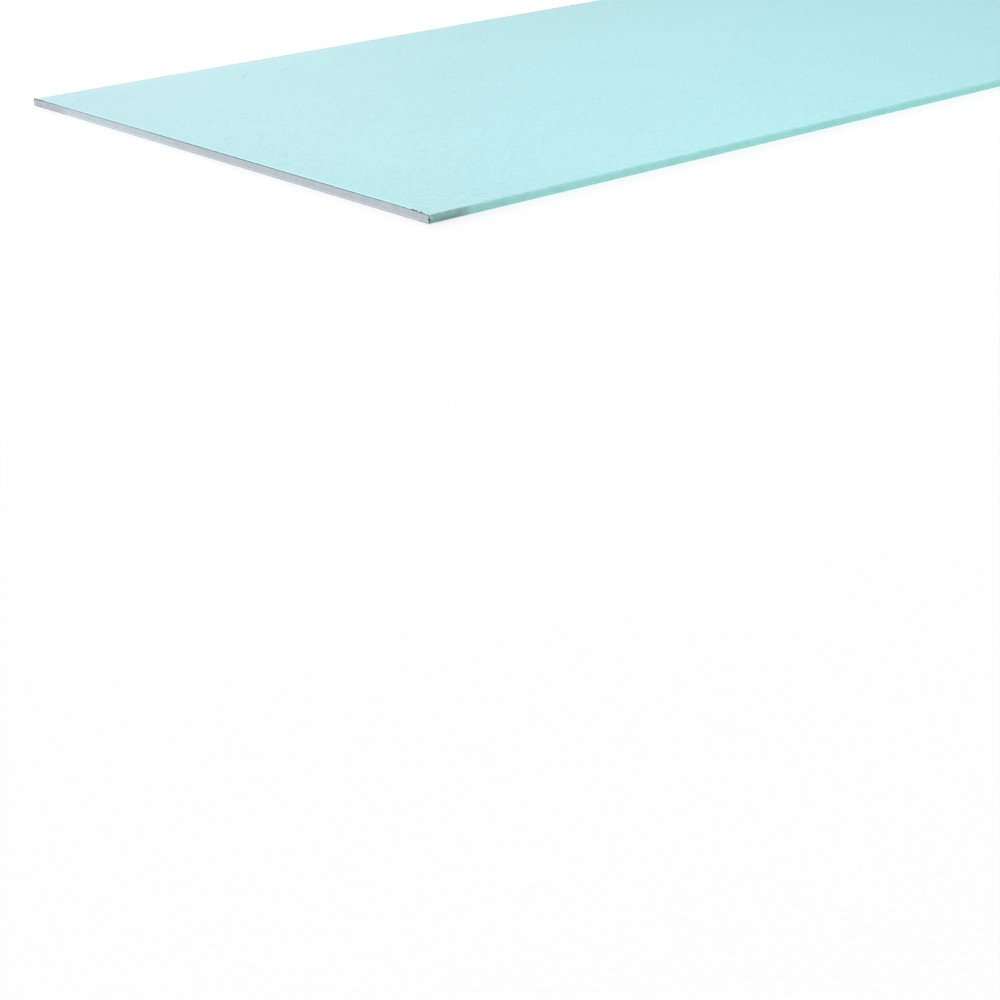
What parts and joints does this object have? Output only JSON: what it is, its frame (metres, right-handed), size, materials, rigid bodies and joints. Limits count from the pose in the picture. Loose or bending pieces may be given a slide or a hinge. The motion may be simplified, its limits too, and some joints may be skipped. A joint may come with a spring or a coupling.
{
  "type": "drywall sheet",
  "caption": "Flat gypsum board with tapered, paper-wrapped long edges and square-cut ends, aqua face paper and brown back paper.",
  "frame": {"origin": "centre of the back paper's underside, the face the sheet lies on", "axes": "+X along the sheet's length, +Y across its width, +Z out of the face side"},
  "size_m": [2.4, 1.2, 0.0125],
  "materials": {
    "gypsum": "matt, saw-cut foamed plaster with small air holes",
    "face_paper": "matt pale aqua board paper",
    "back_paper": "matt brown recycled board paper"
  },
  "bodies": {
    "root": {"gypsum_core": "gypsum", "face_paper": "face_paper", "back_paper": "back_paper"}
  },
  "joints": []
}
